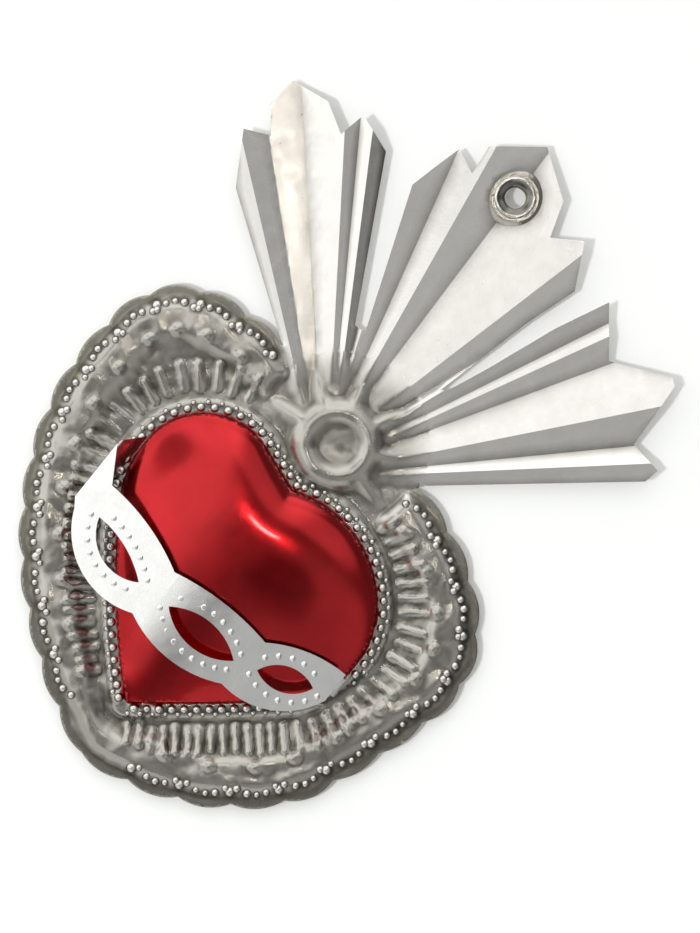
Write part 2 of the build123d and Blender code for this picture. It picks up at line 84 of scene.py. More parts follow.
# Noise: how fast its octaves weaken and how much finer each is than the one before. Then for each
# use height or share, size of the features, seed and octaves.
OCTAVE_FALL = 0.8
OCTAVE_STEP = 2.0
GRID_NOISE_X = (1.0, 0.9, 1.7, 3)
GRID_NOISE_Z = (1.0, 0.9, 5.3, 3)
WARP_X = (0.55, 5.5, 11.3, 3)
WARP_Z = (0.55, 5.5, 27.9, 3)
DENTS = (0.30, 6.0, 2.2, 2)
SMALL_DENTS = (0.05, 1.8, 9.4, 2)
SWAY = (0.10, 14.0, 6.1, 2)
HEART_WAVES = (0.09, 17, 4.4, 2)
RAIL_BEAD_SIZES = (0.14, 2.0, 3.1, 3)
SCALLOP_BEAD_SIZES = (0.25, 1.5, 8.2, 3)
FLUTE_SWAY_X = (0.6, 3.0, 4.2, 3)
FLUTE_SWAY_Z = (0.6, 3.0, 7.9, 3)
FLUTE_STARTS = (1.0, 2.0, 31.4, 3)
FLUTE_SIZES = (0.35, 2.5, 12.6, 3)
FLUTE_LIFTS = (0.8, 4.0, 19.3, 2)

# Handwork on the frame, from none to all of it: distance from the boss, in from the edge and out
# from the heart. The star has a smaller share, which comes in towards its middle.
STAR_FADE = (16, 19)
HAND_FROM_EDGE = (0.8, 3.5)
HAND_FROM_HEART = (3.0, 4.0)
STAR_FADE_IN = (STAR_REACH, 13)
STAR_SOFTENED = 0.5

# Long sway of the sheet: distance from the edge, from none to all of it, and how much less the
# fans have
SWAY_FROM_EDGE = (0.0, 4.0)
FAN_STEADY = 0.8

# Smoothing of the relief: weight of the neighbours and rounds, and how deep a dent may go
SOFTENED = 0.7
SOFTEN_ROUNDS = 7
DEEPEST_DENT = 0.05

# Points this near the edge take the height of a place this far inwards
ON_EDGE = 0.05
EDGE_NUDGE = 0.08

# Patina in the frame and the star, darkening on the outer rim, painted shade round the eyelet, and over
# which distances each comes in
FRAME_PATINA = 0.75
RIM_DARKENING = 0.25
RIM_FADE = (2.2, 1.4)
STAR_PATINA_FADE = (STAR_REACH + 2, STAR_REACH - 6)
COLLAR_PAINTED_SHADE = 0.9
COLLAR_FADE = (5.8, 4.8)

# Painted shade in hollows: rounds of smoothing that the hollows are measured against, the depth that
# gets the darkest painted shade, and how much less of it the fans get
HOLLOW_ROUNDS = 8
FULL_PAINTED_SHADE = 0.22
FAN_LESS_PAINTED_SHADE = 0.6

# Rail round the red heart, with beads large and small in turn: pitch, then offset, radius and rise
# of a bead, the stretch on the right without beads, where the crown band dives in, and the rail's
# width and height
RAIL_PITCH = 2.5
RAIL_LARGE = (1.45, 0.92, 0.85)
RAIL_SMALL = (2.45, 0.55, 0.50)
RAIL_BREAK_X = 20
RAIL_BREAK_Z = (-108, -96.5)
RAIL_WIDTH = 1.9
RAIL_HEIGHT = 0.9

# The domes of the beads: share of the radius, share of the rise and how much painted shade the ring gets
BEAD_RINGS = (
    (1.08, -0.25, 0.22), (1.0, 0.0, 0.22), (0.92, 0.38, 0.17), (0.75, 0.66, 0.05),
    (0.5, 0.87, 0), (0.2, 0.99, 0), (0.01, 1.0, 0),
)

# Their sides and patina, and the width and depth of the painted shade on the sheet round each
BEAD_SIDES = 14
BEAD_PATINA = 0.1
BEAD_SHADE_WIDTH = 0.75
BEAD_SHADE = 0.13

# Scallops: turn of the edge in a valley in radians, least and greatest distance between valleys,
# beads along each, distance of the first from the valley in pitches, and bulge of their row
VALLEY_TURN = 0.3
SCALLOP_CHORD = (6, 15)
SCALLOP_BEADS = 5
BEAD_ROW_START = 0.75
SCALLOP_BEAD_BULGE = 2.9

# Beads and bumps of each scallop: distance inwards from the line between its valleys, radius and rise
SCALLOP_BEAD = (4.5, 0.80, 0.80)
VALLEY_BEAD = (2.6, 1.05, 0.85)
SCALLOP_BUMP = (7.2, 1.50, 0.65)

# Bumps over the frame's lower tip: place, radius and rise
TIP_BUMPS = ((-0.3, -127.5, 1.7, 0.8), (4.8, -127.8, 1.9, 0.9), (7.7, -124.7, 1.6, 0.7))

# Flutes round the red heart: pitch, how far out they start and end, least distance from the edge,
# shortest one, share of the way that is left free at the start, least share of the rise, half width,
# rise, share of the rise at the low end, and roundness of the section
FLUTE_PITCH = 2.35
FLUTE_SPAN = (4.3, 10.0)
FLUTE_EDGE = 7.6
FLUTE_SHORTEST = 2.4
FLUTE_START_SHARE = 0.16
FLUTE_LEAST_LIFT = 0.25
FLUTE_RADIUS = 0.85
FLUTE_RISE = 0.62
RIB_LOW_END = 0.45
RIB_ROUNDNESS = 0.8

# Red heart: sheet, height of its wall and its top, how far the dome stays under that, distance over
# which it domes, radius of its crown, how far under the wall's top the CAD model's wall is cut off,
# least angle of a sharp edge in degrees, and the rise over which the waves come in
HEART_SHEET = 0.35
HEART_WALL = 1.95
HEART_TOP = 6.95
HEART_UNDER_TOP = 0.05
HEART_RISE = 2.9
HEART_CROWN = 140
HEART_WALL_LAP = 0.12
HEART_SHARP = 30
HEART_WAVES_FADE = 3

# The field that the dome is read from: step, margin round the heart, where its smoothing begins and
# over which distance, and rounds for the depth and the dome. Then the points that draw it: pitch,
# least gap and distance from the edge.
HEART_STEP = 0.5
HEART_FIELD_MARGIN = 2
HEART_SOFT_FROM = 0.4
HEART_SOFT_SPAN = 4
HEART_DEPTH_ROUNDS = 60
HEART_DOME_ROUNDS = 30
HEART_GRID = 0.6
HEART_POINT_GAP = 0.30
HEART_EDGE_GAP = 0.25

# Hanging eyelet: radius and y of its section, sides, and the radii between which painted shade comes
# into its funnel
EYELET_PROFILE = (
    (2.10, 0.85), (2.90, 0.85), (3.55, 0.75), (3.75, 0.48), (3.35, 0.0), (2.76, -0.45),
    (2.76, -0.84), (3.95, -0.86), (4.17, -1.00), (4.18, -1.25), (4.05, -1.50), (3.82, -1.64),
    (3.60, -1.58), (3.42, -1.38), (3.20, -1.25), (2.75, -1.12), (2.40, -1.00), (2.18, -0.80),
    (2.10, -0.45), (2.10, 0.30),
)
EYELET_SIDES = 96
EYELET_FUNNEL = (3.75, 3.45)

# The eye-shaped openings of the crown band: left corner, low middle, right corner and high middle of
# each, and points along each of its two arcs
BAND_EYES = (
    ((-25.0, -101.3), (-17.0, -108.0), (-10.8, -106.5), (-18.5, -102.3)),
    ((-3.2, -106.5), (5.0, -110.0), (13.5, -107.0), (5.0, -103.8)),
    ((18.3, -105.6), (25.0, -106.0), (29.3, -101.6), (24.0, -100.8)),
)
EYE_ARC_POINTS = 16

# Dots punched round each eye: pitch, offset, radius and rise of each ring, sides, the y of a normal
# past which the band is too steep for one, and how far a dot stays behind the band's front
DOT_PITCH = 2.15
DOT_OFFSET = 1.75
DOT_RINGS = ((0.0, 0.28), (0.35, 0.21), (0.60, 0.02), (0.64, -0.1))
DOT_SIDES = 10
DOT_FACING = -0.5
DOT_INSIDE_BOX = 0.01


def smoothstep(low, high, value):
    share = min(1.0, max(0.0, (value - low) / (high - low)))
    return share * share * (3 - 2 * share)


def waves(x, z, field):
    """Smooth noise, from about minus to plus the height of a field, at a place."""
    height, scale, seed, octaves = field
    place = Vector((x / scale, seed, z / scale))
    return height * noise.fractal(place, OCTAVE_FALL, OCTAVE_STEP, octaves)


def mesh_object(name, verts, faces, node=None):
    """A smooth-shaded mesh in metres from points in millimetres, placed on the object."""
    mesh = bpy.data.meshes.new(name)
    mesh.from_pydata([(x * MM, y * MM, z * MM) for x, y, z in verts], [], faces)
    mesh.update()
    mesh.shade_smooth()
    piece = bpy.data.objects.new(name, mesh)
    bpy.context.scene.collection.objects.link(piece)
    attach(piece, "root")
    if node:
        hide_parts(node)
    return piece


def set_attribute(piece, name, values):
    """A number at each vertex, from a list that starts again when it runs out, as on a sheet's back."""
    spread = np.resize(np.asarray(values, dtype=np.float32), len(piece.data.vertices))
    piece.data.attributes.new(name, "FLOAT", "POINT").data.foreach_set("value", spread)


def ring_faces(first, rings, count):
    """Faces between rings of a count of vertices, each ring after the one before."""
    faces = []
    for ring in range(rings - 1):
        start = first + ring * count
        for k in range(count):
            here, side = start + k, start + (k + 1) % count
            faces.append((here, side, side + count, here + count))
    return faces


# Reading the CAD model

def welded(node):
    """A copy of a CAD node's mesh in millimetres with its vertices joined."""
    bm = bmesh.new()
    bm.from_mesh(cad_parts[node].data)
    bmesh.ops.scale(bm, vec=Vector((1, 1, 1)) / MM, verts=bm.verts)
    bmesh.ops.remove_doubles(bm, verts=bm.verts, dist=WELD)
    bm.normal_update()
    return bm


def flat(point):
    return Vector((point.x, point.z))


def sides(points):
    """The pairs of neighbours round a closed polygon."""
    return zip(points, points[1:] + points[:1])


def wall_edges(bm):
    """Edges between a wall that runs towards the viewer and a face on the front."""
    found = []
    for edge in bm.edges:
        if len(edge.link_faces) == 2:
            slopes = sorted(face.normal.y for face in edge.link_faces)
            if slopes[0] < FRONT_NORMAL and abs(slopes[1]) < WALL_NORMAL:
                found.append(edge)
    return found


def loops_of(edges):
    """The flat closed loops that edges make end to end, each anticlockwise, the longest last."""
    links = {}
    for edge in edges:
        for here, there in (edge.verts, reversed(edge.verts)):
            links.setdefault(here, []).append(there)
    loops = []
    seen = set()
    for start in links:
        loop = []
        here = start
        while here is not None and here not in seen:
            seen.add(here)
            loop.append(flat(here.co))
            here = next((v for v in links[here] if v not in seen), None)
        if len(loop) > 2:
            area = sum(a.cross(b) for a, b in sides(loop))
            loops.append(loop if area > 0 else loop[::-1])
    return sorted(loops, key=lambda loop: sum((b - a).length for a, b in sides(loop)))


def subdivided(points, step):
    """A closed polygon with no side longer than a step."""
    out = []
    for a, b in sides(points):
        count = max(1, math.ceil((b - a).length / step))
        out += [a.lerp(b, i / count) for i in range(count)]
    return out


def pitched(points, pitch, offset, phase=0.0):
    """Points at a pitch along a closed polygon, moved outwards by an offset."""
    total = sum((b - a).length for a, b in sides(points))
    count = round(total / pitch)
    step = total / count
    out = []
    travelled = 0.0
    target = phase * step
    for a, b in sides(points):
        run = (b - a).length
        way = (b - a) / run
        while target <= travelled + run and len(out) < count:
            out.append(a + way * (target - travelled) + Vector((way.y, -way.x)) * offset)
            target += step
        travelled += run
    return out


class Outline:
    """A closed polygon that tells how far a point is inside it."""

    # Places that are worked out at once, and the step over which the way inwards is measured
    BATCH = 2000
    PROBE = 0.05

    def __init__(self, points):
        self.points = np.array([tuple(p) for p in points])
        self.next = np.roll(self.points, -1, axis=0)
        self.side = self.next - self.points
        self.length2 = (self.side**2).sum(1)

    def depths(self, places):
        """Distances of places to the nearest side, below zero outside."""
        places = np.asarray(places, dtype=float)
        starts = range(0, len(places), self.BATCH)
        return np.concatenate([self.batch(places[i : i + self.BATCH]) for i in starts])

    def inwards(self, places):
        """The unit direction at each place in which the distance inside grows."""
        ways = np.eye(2) * self.PROBE
        slope = np.stack([self.depths(places + way) - self.depths(places - way) for way in ways], axis=1)
        return slope / np.maximum(1e-9, np.linalg.norm(slope, axis=1))[:, None]

    def batch(self, places):
        x = places[:, :1]
        z = places[:, 1:]
        rel_x = x - self.points[:, 0]
        rel_z = z - self.points[:, 1]
        side_x, side_z = self.side.T
        along = np.clip((rel_x * side_x + rel_z * side_z) / self.length2, 0, 1)
        near = np.hypot(rel_x - side_x * along, rel_z - side_z * along).min(1)
        span = (self.points[:, 1] > z) != (self.next[:, 1] > z)
        rise = np.where(side_z == 0, 1, side_z)
        cross = self.points[:, 0] + rel_z * side_x / rise
        inside = (span & (x < cross)).sum(1) % 2 == 1
        return np.where(inside, near, -near)


# Forms punched up from the sheet

class Bead:
    """A round bead or bump."""

    def __init__(self, place, radius, rise):
        self.x, self.z = place
        self.radius = radius
        self.reach = radius
        self.rise = rise

    def height(self, x, z):
        d = math.hypot(x - self.x, z - self.z) / self.radius
        return self.rise * (1 - d * d) if d < 1 else 0.0


class Rib:
    """A round rib, lower at its first end."""

    def __init__(self, first, last, radius, rise):
        self.first = first
        self.run = last - first
        self.radius = radius
        self.rise = rise
        self.x, self.z = (first + last) / 2
        self.reach = radius + self.run.length / 2

    def height(self, x, z):
        rel = Vector((x, z)) - self.first
        share = min(1.0, max(0.0, rel.dot(self.run) / self.run.length_squared))
        d = (rel - self.run * share).length / self.radius
        if d >= 1:
            return 0.0
        return self.rise * (RIB_LOW_END + (1 - RIB_LOW_END) * share) * (1 - d * d) ** RIB_ROUNDNESS


def rail_beads(heart_loop):
    beads = []
    for (offset, radius, rise), phase in ((RAIL_LARGE, 0.0), (RAIL_SMALL, 0.5)):
        for place in pitched(heart_loop, RAIL_PITCH, offset, phase):
            broken = place.x > RAIL_BREAK_X and RAIL_BREAK_Z[0] < place.y < RAIL_BREAK_Z[1]
            if not broken:
                size = 1 + waves(*place, RAIL_BEAD_SIZES)
                beads.append(Bead(place, radius * size, rise * size))
    return beads


def scallop_valleys(plate_loop):
    """The inward corners between the scallops of the frame."""
    valleys = []
    for i, here in enumerate(plate_loop):
        back = here - plate_loop[i - 1]
        ahead = plate_loop[(i + 1) % len(plate_loop)] - here
        if back.angle_signed(ahead) > VALLEY_TURN and here.y < FLAME_FOOT:
            valleys.append(here)
    return valleys


def scallop_forms(plate_loop):
    """The beads along each scallop and at each valley, and the bump in the middle of each scallop."""
    beads, bumps = [], []
    for a, b in sides(scallop_valleys(plate_loop)):
        if not SCALLOP_CHORD[0] < (b - a).length < SCALLOP_CHORD[1]:
            continue
        way = (b - a).normalized()
        inward = Vector((-way.y, way.x))
        inset, radius, rise = VALLEY_BEAD
        beads.append(Bead(a + inward * inset, radius, rise))
        inset, radius, rise = SCALLOP_BEAD
        for i in range(SCALLOP_BEADS):
            share = (i + BEAD_ROW_START) / (SCALLOP_BEADS - 1 + 2 * BEAD_ROW_START)
            bulge = SCALLOP_BEAD_BULGE * 4 * share * (1 - share)
            place = a.lerp(b, share) + inward * (inset - bulge)
            size = 1 + waves(*place, SCALLOP_BEAD_SIZES)
            beads.append(Bead(place, radius * size, rise * size))
        inset, radius, rise = SCALLOP_BUMP
        bumps.append(Bead(a.lerp(b, 0.5) + inward * inset, radius, rise))
    return beads, bumps


def flute_ribs(heart_loop, outline):
    """The flutes that run out from the rail, each a little different."""
    ribs = []
    inner = pitched(heart_loop, FLUTE_PITCH, FLUTE_SPAN[0])
    outer = pitched(heart_loop, FLUTE_PITCH, FLUTE_SPAN[1])
    for first, last in zip(inner, outer):
        last = last + Vector((waves(*last, FLUTE_SWAY_X), waves(*last, FLUTE_SWAY_Z)))
        first = first.lerp(last, FLUTE_START_SHARE * (1 + waves(*first, FLUTE_STARTS)))
        way = (last - first).normalized()
        last = last - way * max(0.0, FLUTE_EDGE - outline.depths([last])[0])
        length = (last - first).dot(way)
        if length > FLUTE_SHORTEST and min(from_boss(*first), from_boss(*last)) > STAR_REACH:
            size = 1 + waves(*first, FLUTE_SIZES)
            lift = max(FLUTE_LEAST_LIFT, 1 + waves(*last, FLUTE_LIFTS))
            ribs.append(Rib(first, last, FLUTE_RADIUS * size, FLUTE_RISE * size * lift))
    return ribs


# Meshes made from a height over the x-z plane

def from_boss(x, z):
    return math.hypot(x - BOSS[0], z - BOSS[1])


def flame_share(x, z):
    """1 in the sector round the boss that the three fans fill, 0 in the frame."""
    angle = math.degrees(math.atan2(z - BOSS[1], x - BOSS[0]))
    return smoothstep(*FANS_RIGHT, angle) * smoothstep(*FANS_LEFT, angle)


def in_fans(x, z):
    return from_boss(x, z) > STAR_REACH and flame_share(x, z) > 0.5


def hex_grid(low, high, step):
    """Places in staggered rows over a box, each moved a little."""
    row_step = step * math.sqrt(0.75)
    shift = GRID_JITTER * step
    places = []
    for r in range(math.ceil((high[1] - low[1]) / row_step)):
        for c in range(math.ceil((high[0] - low[0]) / step)):
            x = low[0] + (c + 0.5 * (r % 2)) * step
            z = low[1] + r * row_step
            places.append((x + shift * waves(x, z, GRID_NOISE_X), z + shift * waves(x, z, GRID_NOISE_Z)))
    return np.array(places)


class PointSet:
    """Points that keep a gap from each other, found by square cells."""

    def __init__(self, gap):
        self.gap = gap
        self.cell = gap
        self.cells = {}
        self.points = []

    def add(self, x, z, forced=False):
        """The new point's number, or None where another point is too near."""
        i, j = math.floor(x / self.cell), math.floor(z / self.cell)
        span = math.ceil(self.gap / self.cell)
        if not forced:
            for di in range(-span, span + 1):
                for dj in range(-span, span + 1):
                    for px, pz in self.cells.get((i + di, j + dj), ()):
                        if (px - x) ** 2 + (pz - z) ** 2 < self.gap**2:
                            return None
        self.cells.setdefault((i, j), []).append((x, z))
        self.points.append((x, z))
        return len(self.points) - 1

    def add_all(self, places):
        for x, z in places.tolist():
            self.add(x, z)

    def add_loop(self, loop):
        """The edges of a closed loop of new points."""
        picks = [self.add(p.x, p.y, forced=True) for p in loop]
        return list(sides(picks))


def triangulated(points, edges, outline):
    """Triangles inside an outline that keep the given edges."""
    verts = [Vector(p) for p in points]
    out, _, faces, _, _, _ = geometry.delaunay_2d_cdt(verts, edges, [], 0, SAME_POINT, False)
    flat_points = np.array([tuple(v) for v in out])
    faces = np.array(faces)
    return flat_points, faces[outline.depths(flat_points[faces].mean(1)) > 0]


def unique_edges(faces):
    """The edges of triangles, and how many triangles use each."""
    pairs = np.sort(np.vstack([faces[:, [0, 1]], faces[:, [1, 2]], faces[:, [2, 0]]]), axis=1)
    return np.unique(pairs, axis=0, return_counts=True)


def relaxed(values, edges, weight, rounds):
    """Values moved towards the mean of their neighbours, by a weight at each vertex."""
    values = values.copy()
    count = np.bincount(edges.ravel(), minlength=len(values)).clip(1)
    for _ in range(rounds):
        total = np.bincount(edges[:, 0], values[edges[:, 1]], len(values))
        total += np.bincount(edges[:, 1], values[edges[:, 0]], len(values))
        values += weight * (total / count - values)
    return values


def sheet_object(name, flat_points, faces, height, thickness, node):
    """A sheet whose front has a height towards the viewer, with a back and a rim."""
    edges, uses = unique_edges(faces)
    total = len(flat_points)
    front = [(x, -h, z) for (x, z), h in zip(flat_points, height)]
    back = [(x, -h + thickness, z) for (x, z), h in zip(flat_points, height)]
    area = np.cross(
        flat_points[faces[:, 1]] - flat_points[faces[:, 0]],
        flat_points[faces[:, 2]] - flat_points[faces[:, 0]],
    )
    turned = np.where(area[:, None] > 0, faces, faces[:, ::-1]).tolist()
    tris = [tuple(face) for face in turned]
    tris += [tuple(i + total for i in reversed(face)) for face in turned]
    border = {tuple(edge) for edge in edges[uses == 1].tolist()}
    rim = []
    for a, b, c in turned:
        for p, q in ((a, b), (b, c), (c, a)):
            if (min(p, q), max(p, q)) in border:
                rim.append((q, p, p + total, q + total))
    return mesh_object(name, front + back, tris + rim, node)


def mark_sharp(piece, degrees, chosen=None):
    """Sharp edges where two faces meet at more than an angle, everywhere or among chosen places."""
    bm = bmesh.new()
    bm.from_mesh(piece.data)
    limit = math.radians(degrees)
    for edge in bm.edges:
        if len(edge.link_faces) == 2 and edge.calc_face_angle(0) > limit:
            middle = (edge.verts[0].co + edge.verts[1].co) / 2 / MM
            if chosen is None or chosen(middle.x, middle.z):
                edge.smooth = False
    bm.to_mesh(piece.data)
    bm.free()


# Back plate

def crease_lines(plate_bm):
    """The creases of the fans in the CAD model, as rows of points."""
    lines = []
    for edge in plate_bm.edges:
        on_front = [face.normal.y < FRONT_NORMAL for face in edge.link_faces]
        if len(on_front) == 2 and all(on_front) and edge.calc_face_angle(0) > math.radians(CREASE_ANGLE):
            a, b = (flat(v.co) for v in edge.verts)
            count = max(1, math.ceil((edge.verts[1].co - edge.verts[0].co).length / GRID_FLAME))
            line = [a.lerp(b, i / count) for i in range(count + 1)]
            lines.append([p for p in line if in_fans(*p)])
    return lines


def plate_net(plate_loop, hole_loop, outline, heart_outline, plate_bm):
    """Points over the plate, closer together in the frame, and the triangles between them."""
    points = PointSet(POINT_GAP)
    edges = []
    for loop in (plate_loop, hole_loop):
        edges += points.add_loop(subdivided(loop, GRID_EDGE))
    for line in crease_lines(plate_bm):
        picks = [points.add(p.x, p.y, forced=True) for p in line]
        edges += list(zip(picks, picks[1:]))
    low = outline.points.min(0)
    high = outline.points.max(0)
    places = hex_grid(low, high, GRID_FRAME)
    fine = [flame_share(x, z) < 1 or from_boss(x, z) < STAR_REACH + STAR_MARGIN for x, z in places]
    places = places[np.array(fine) & (outline.depths(places) > POINT_GAP)]
    points.add_all(places[heart_outline.depths(places) < HEART_COVER])
    places = hex_grid(low, high, GRID_FLAME)
    places = places[(outline.depths(places) > POINT_GAP) & (np.hypot(*places.T) > HOLE_CLEAR)]
    points.gap = GRID_FRAME
    points.add_all(places)
    flat_points, faces = triangulated(points.points, edges, outline)
    hole_radius = max(p.length for p in hole_loop)
    return flat_points, faces[np.hypot(*flat_points[faces].mean(1).T) > hole_radius]


def plate_relief(flat_points, net, outline, heart_outline, plate_bm):
    """Heights of the CAD model's front, uneven as handwork is, and how much patina it has."""
    tree = BVHTree.FromBMesh(plate_bm)
    height = np.empty(len(flat_points))
    worked = np.empty(len(flat_points))
    patina_and_painted_shade = np.empty(len(flat_points))
    nudge = outline.inwards(flat_points) * EDGE_NUDGE
    insides = outline.depths(flat_points)
    from_hearts = -heart_outline.depths(flat_points)
    for i, (x, z) in enumerate(flat_points):
        reach = from_boss(x, z)
        frame_share = 1 - flame_share(x, z)
        past_star = frame_share * smoothstep(*STAR_FADE, reach)
        hand = past_star * smoothstep(*HAND_FROM_EDGE, insides[i])
        hand *= smoothstep(*HAND_FROM_HEART, from_hearts[i])
        shift = np.array((waves(x, z, WARP_X), waves(x, z, WARP_Z))) * hand
        if insides[i] < ON_EDGE:
            shift = nudge[i]
        hit = tree.ray_cast(Vector((x + shift[0], RAY_START, z + shift[1])), RAY_WAY)[0]
        height[i] = -hit.y if hit else GROUND
        worked[i] = max(hand, STAR_SOFTENED * smoothstep(*STAR_FADE_IN, reach))
        in_frame = max(past_star, smoothstep(*STAR_PATINA_FADE, reach))
        rim = smoothstep(*RIM_FADE, insides[i]) * frame_share
        # Painted shade round the eyelet, kept with the patina
        round_eyelet = COLLAR_PAINTED_SHADE * smoothstep(*COLLAR_FADE, math.hypot(x, z))
        patina_and_painted_shade[i] = max(FRAME_PATINA * in_frame + RIM_DARKENING * rim, round_eyelet)
    height = relaxed(height, net, SOFTENED * worked, SOFTEN_ROUNDS)
    on_rail = (from_hearts > 0) & (from_hearts < RAIL_WIDTH)
    height = np.where(on_rail, np.maximum(height, GROUND + RAIL_HEIGHT), height)
    for i, (x, z) in enumerate(flat_points):
        dents = waves(x, z, DENTS) + waves(x, z, SMALL_DENTS)
        sway = (1 - FAN_STEADY * flame_share(x, z)) * waves(x, z, SWAY)
        height[i] += worked[i] * dents + smoothstep(*SWAY_FROM_EDGE, insides[i]) * sway
    return np.maximum(height, GROUND - DEEPEST_DENT), patina_and_painted_shade


def raised(flat_points, lookup, forms):
    """How much forms raise each point, the highest where they overlap."""
    bump = np.zeros(len(flat_points))
    for form in forms:
        for (x, z, _), i, _ in lookup.find_range((form.x, form.z, 0), form.reach):
            bump[i] = max(bump[i], form.height(x, z))
    return bump


def plate_painted_shade(flat_points, net, height, lookup, beads):
    """Painted shade: how far each point lies below its surroundings, more at bead feet, less in the
    fans.
    """
    painted_shade = relaxed(height, net, np.full(len(height), SOFTENED), HOLLOW_ROUNDS) - height
    for i, (x, z) in enumerate(flat_points):
        if from_boss(x, z) > STAR_REACH:
            painted_shade[i] *= 1 - FAN_LESS_PAINTED_SHADE * flame_share(x, z)
    for bead in beads:
        reach = bead.radius + BEAD_SHADE_WIDTH
        for _, i, distance in lookup.find_range((bead.x, bead.z, 0), reach):
            painted_shade[i] += BEAD_SHADE * smoothstep(reach, bead.radius, distance)
    return painted_shade


def back_plate(plate_loop, hole_loop, heart_loop, heart_outline, plate_bm, material):
    outline = Outline(plate_loop)
    flat_points, faces = plate_net(plate_loop, hole_loop, outline, heart_outline, plate_bm)
    net, _ = unique_edges(faces)
    height, patina_and_painted_shade = plate_relief(flat_points, net, outline, heart_outline, plate_bm)
    lookup = kdtree.KDTree(len(flat_points))
    for i, (x, z) in enumerate(flat_points):
        lookup.insert((x, z, 0), i)
    lookup.balance()
    beads, bumps = scallop_forms(plate_loop)
    beads += rail_beads(heart_loop)
    bumps += [Bead((x, z), radius, rise) for x, z, radius, rise in TIP_BUMPS]
    height += raised(flat_points, lookup, bumps + flute_ribs(heart_loop, outline))
    piece = sheet_object(
        "embossed_plate", flat_points, faces, height, SHEET, "back_plate"
    )
    # Painted shade in the plate's hollows and round the foot of each bead
    set_attribute(piece, "painted_shade", plate_painted_shade(flat_points, net, height, lookup, beads))
    set_attribute(piece, "patina_and_painted_shade", patina_and_painted_shade)
    mark_sharp(piece, SHARP_ANGLE, in_fans)
    piece.data.materials.append(material)
    foot = [lookup.find((bead.x, bead.z, 0))[1] for bead in beads]
    bead_domes(beads, [height[i] for i in foot], material)


def bead_domes(beads, levels, material):
    """The small beads as smooth domes on the sheet, with painted shade round the foot."""
    verts, faces, painted_shades = [], [], []
    for bead, level in zip(beads, levels):
        faces += ring_faces(len(verts), len(BEAD_RINGS), BEAD_SIDES)
        for share, rise, painted_shade in BEAD_RINGS:
            for k in range(BEAD_SIDES):
                a = math.tau * k / BEAD_SIDES
                reach = bead.radius * share
                x, z = bead.x + reach * math.cos(a), bead.z + reach * math.sin(a)
                verts.append((x, -level - bead.rise * rise, z))
                painted_shades.append(painted_shade)
    piece = mesh_object("punched_beads", verts, faces, None)
    # Painted shade at the foot of each dome
    set_attribute(piece, "painted_shade", painted_shades)
    set_attribute(piece, "patina_and_painted_shade", [BEAD_PATINA])
    piece.data.materials.append(material)


# Red heart

def blurred(field, rounds):
    """A field on a square grid, softened."""
    for _ in range(rounds):
        padded = np.pad(field, 1, mode="edge")
        beside = padded[:-2, 1:-1] + padded[2:, 1:-1] + padded[1:-1, :-2] + padded[1:-1, 2:]
        field = beside / 8 + field / 2
    return field


def sampled(field, low, step, places):
    """Values of a field on a square grid at places between its points."""
    at = (places - low) / step
    cell = np.clip(np.floor(at).astype(int), 0, np.array(field.shape) - 2)
    u, v = (at - cell).T
    i, j = cell.T
    lower = field[i, j] * (1 - u) + field[i + 1, j] * u
    upper = field[i, j + 1] * (1 - u) + field[i + 1, j + 1] * u
    return lower * (1 - v) + upper * v


def dome_field(outline, low, high):
    """Heights of the heart's dome on a square grid over its box."""
    xs = np.arange(low[0], high[0] + HEART_STEP, HEART_STEP)
    zs = np.arange(low[1], high[1] + HEART_STEP, HEART_STEP)
    across, upright = np.meshgrid(xs, zs, indexing="ij")
    depth = outline.depths(np.stack([across.ravel(), upright.ravel()], axis=1))
    depth = np.maximum(0, depth.reshape(across.shape))
    share = np.clip((depth - HEART_SOFT_FROM) / HEART_SOFT_SPAN, 0, 1)
    eased = share * share * (3 - 2 * share)
    soft = depth + (blurred(depth, HEART_DEPTH_ROUNDS) - depth) * eased
    dome = 1 - np.exp(-soft / HEART_RISE)
    middle = outline.points.mean(0)
    spread = (across - middle[0]) ** 2 + (upright - middle[1]) ** 2
    full = HEART_TOP - HEART_WALL - HEART_UNDER_TOP - spread / 2 / HEART_CROWN
    field = full * dome + HEART_WALL
    return field + (blurred(field, HEART_DOME_ROUNDS) - field) * share


def red_heart(heart_loop, outline, material):
    """The domed heart as one smooth pillow down to the top of its wall."""
    low = outline.points.min(0) - HEART_FIELD_MARGIN
    high = outline.points.max(0) + HEART_FIELD_MARGIN
    points = PointSet(HEART_POINT_GAP)
    edges = points.add_loop(subdivided(heart_loop, GRID_EDGE))
    places = hex_grid(low, high, HEART_GRID)
    points.add_all(places[outline.depths(places) > HEART_EDGE_GAP])
    flat_points, faces = triangulated(points.points, edges, outline)
    height = sampled(dome_field(outline, low, high), low, HEART_STEP, flat_points)
    height[: len(edges)] = HEART_WALL
    for i, (x, z) in enumerate(flat_points):
        inside = min(1.0, (height[i] - HEART_WALL) / HEART_WAVES_FADE)
        height[i] += waves(x, z, HEART_WAVES) * inside
    piece = sheet_object(
        "heart_dome", flat_points, faces, height, HEART_SHEET, "red_heart"
    )
    piece.data.materials.append(material)


def heart_wall(heart_bm, material):
    """The wall of the heart and its bent tabs, as the CAD model has them."""
    bm = heart_bm.copy()
    bmesh.ops.bisect_plane(
        bm,
        geom=bm.verts[:] + bm.edges[:] + bm.faces[:],
        plane_co=(0, -HEART_WALL + HEART_WALL_LAP, 0),
        plane_no=(0, -1, 0),
        clear_outer=True,
    )
    verts = [tuple(v.co) for v in bm.verts]
    bm.verts.index_update()
    faces = [tuple(v.index for v in f.verts) for f in bm.faces]
    piece = mesh_object("heart_wall", verts, faces, None)
    mark_sharp(piece, HEART_SHARP)
    piece.data.materials.append(material)


# Hanging eyelet

